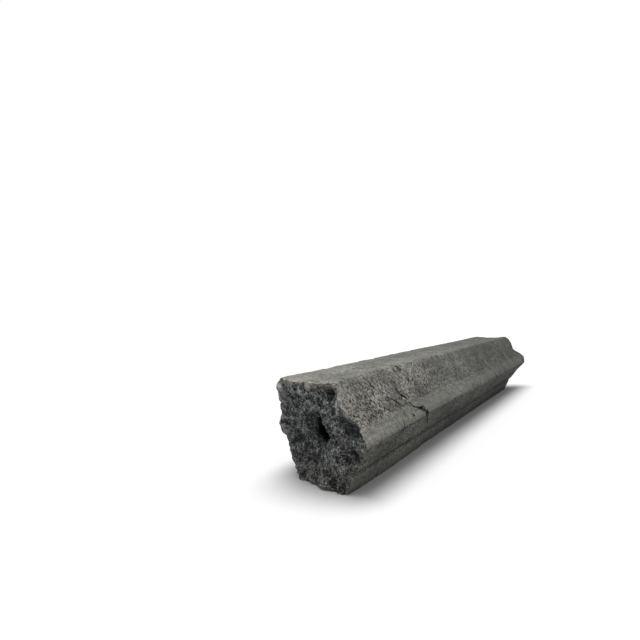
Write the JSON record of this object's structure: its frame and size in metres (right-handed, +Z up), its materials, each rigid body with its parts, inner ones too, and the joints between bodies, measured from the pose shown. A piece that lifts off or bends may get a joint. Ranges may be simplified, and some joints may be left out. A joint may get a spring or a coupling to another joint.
{
  "type": "hexagonal charcoal briquette",
  "caption": "A hexagonal charcoal briquette: one long extruded and charred stick with sunk sides, rounded ridges, broken ends and an air channel bored along its middle.",
  "frame": {"origin": "under the middle of the stick's box, on the plane of its two worn ridges", "axes": "+X along the stick towards its back end, with the broken front end at -X; +Z up"},
  "size_m": [0.292, 0.0498, 0.0425],
  "materials": {
    "charcoal": "matte"
  },
  "bodies": {
    "root": {"briquette": "charcoal"}
  },
  "joints": []
}
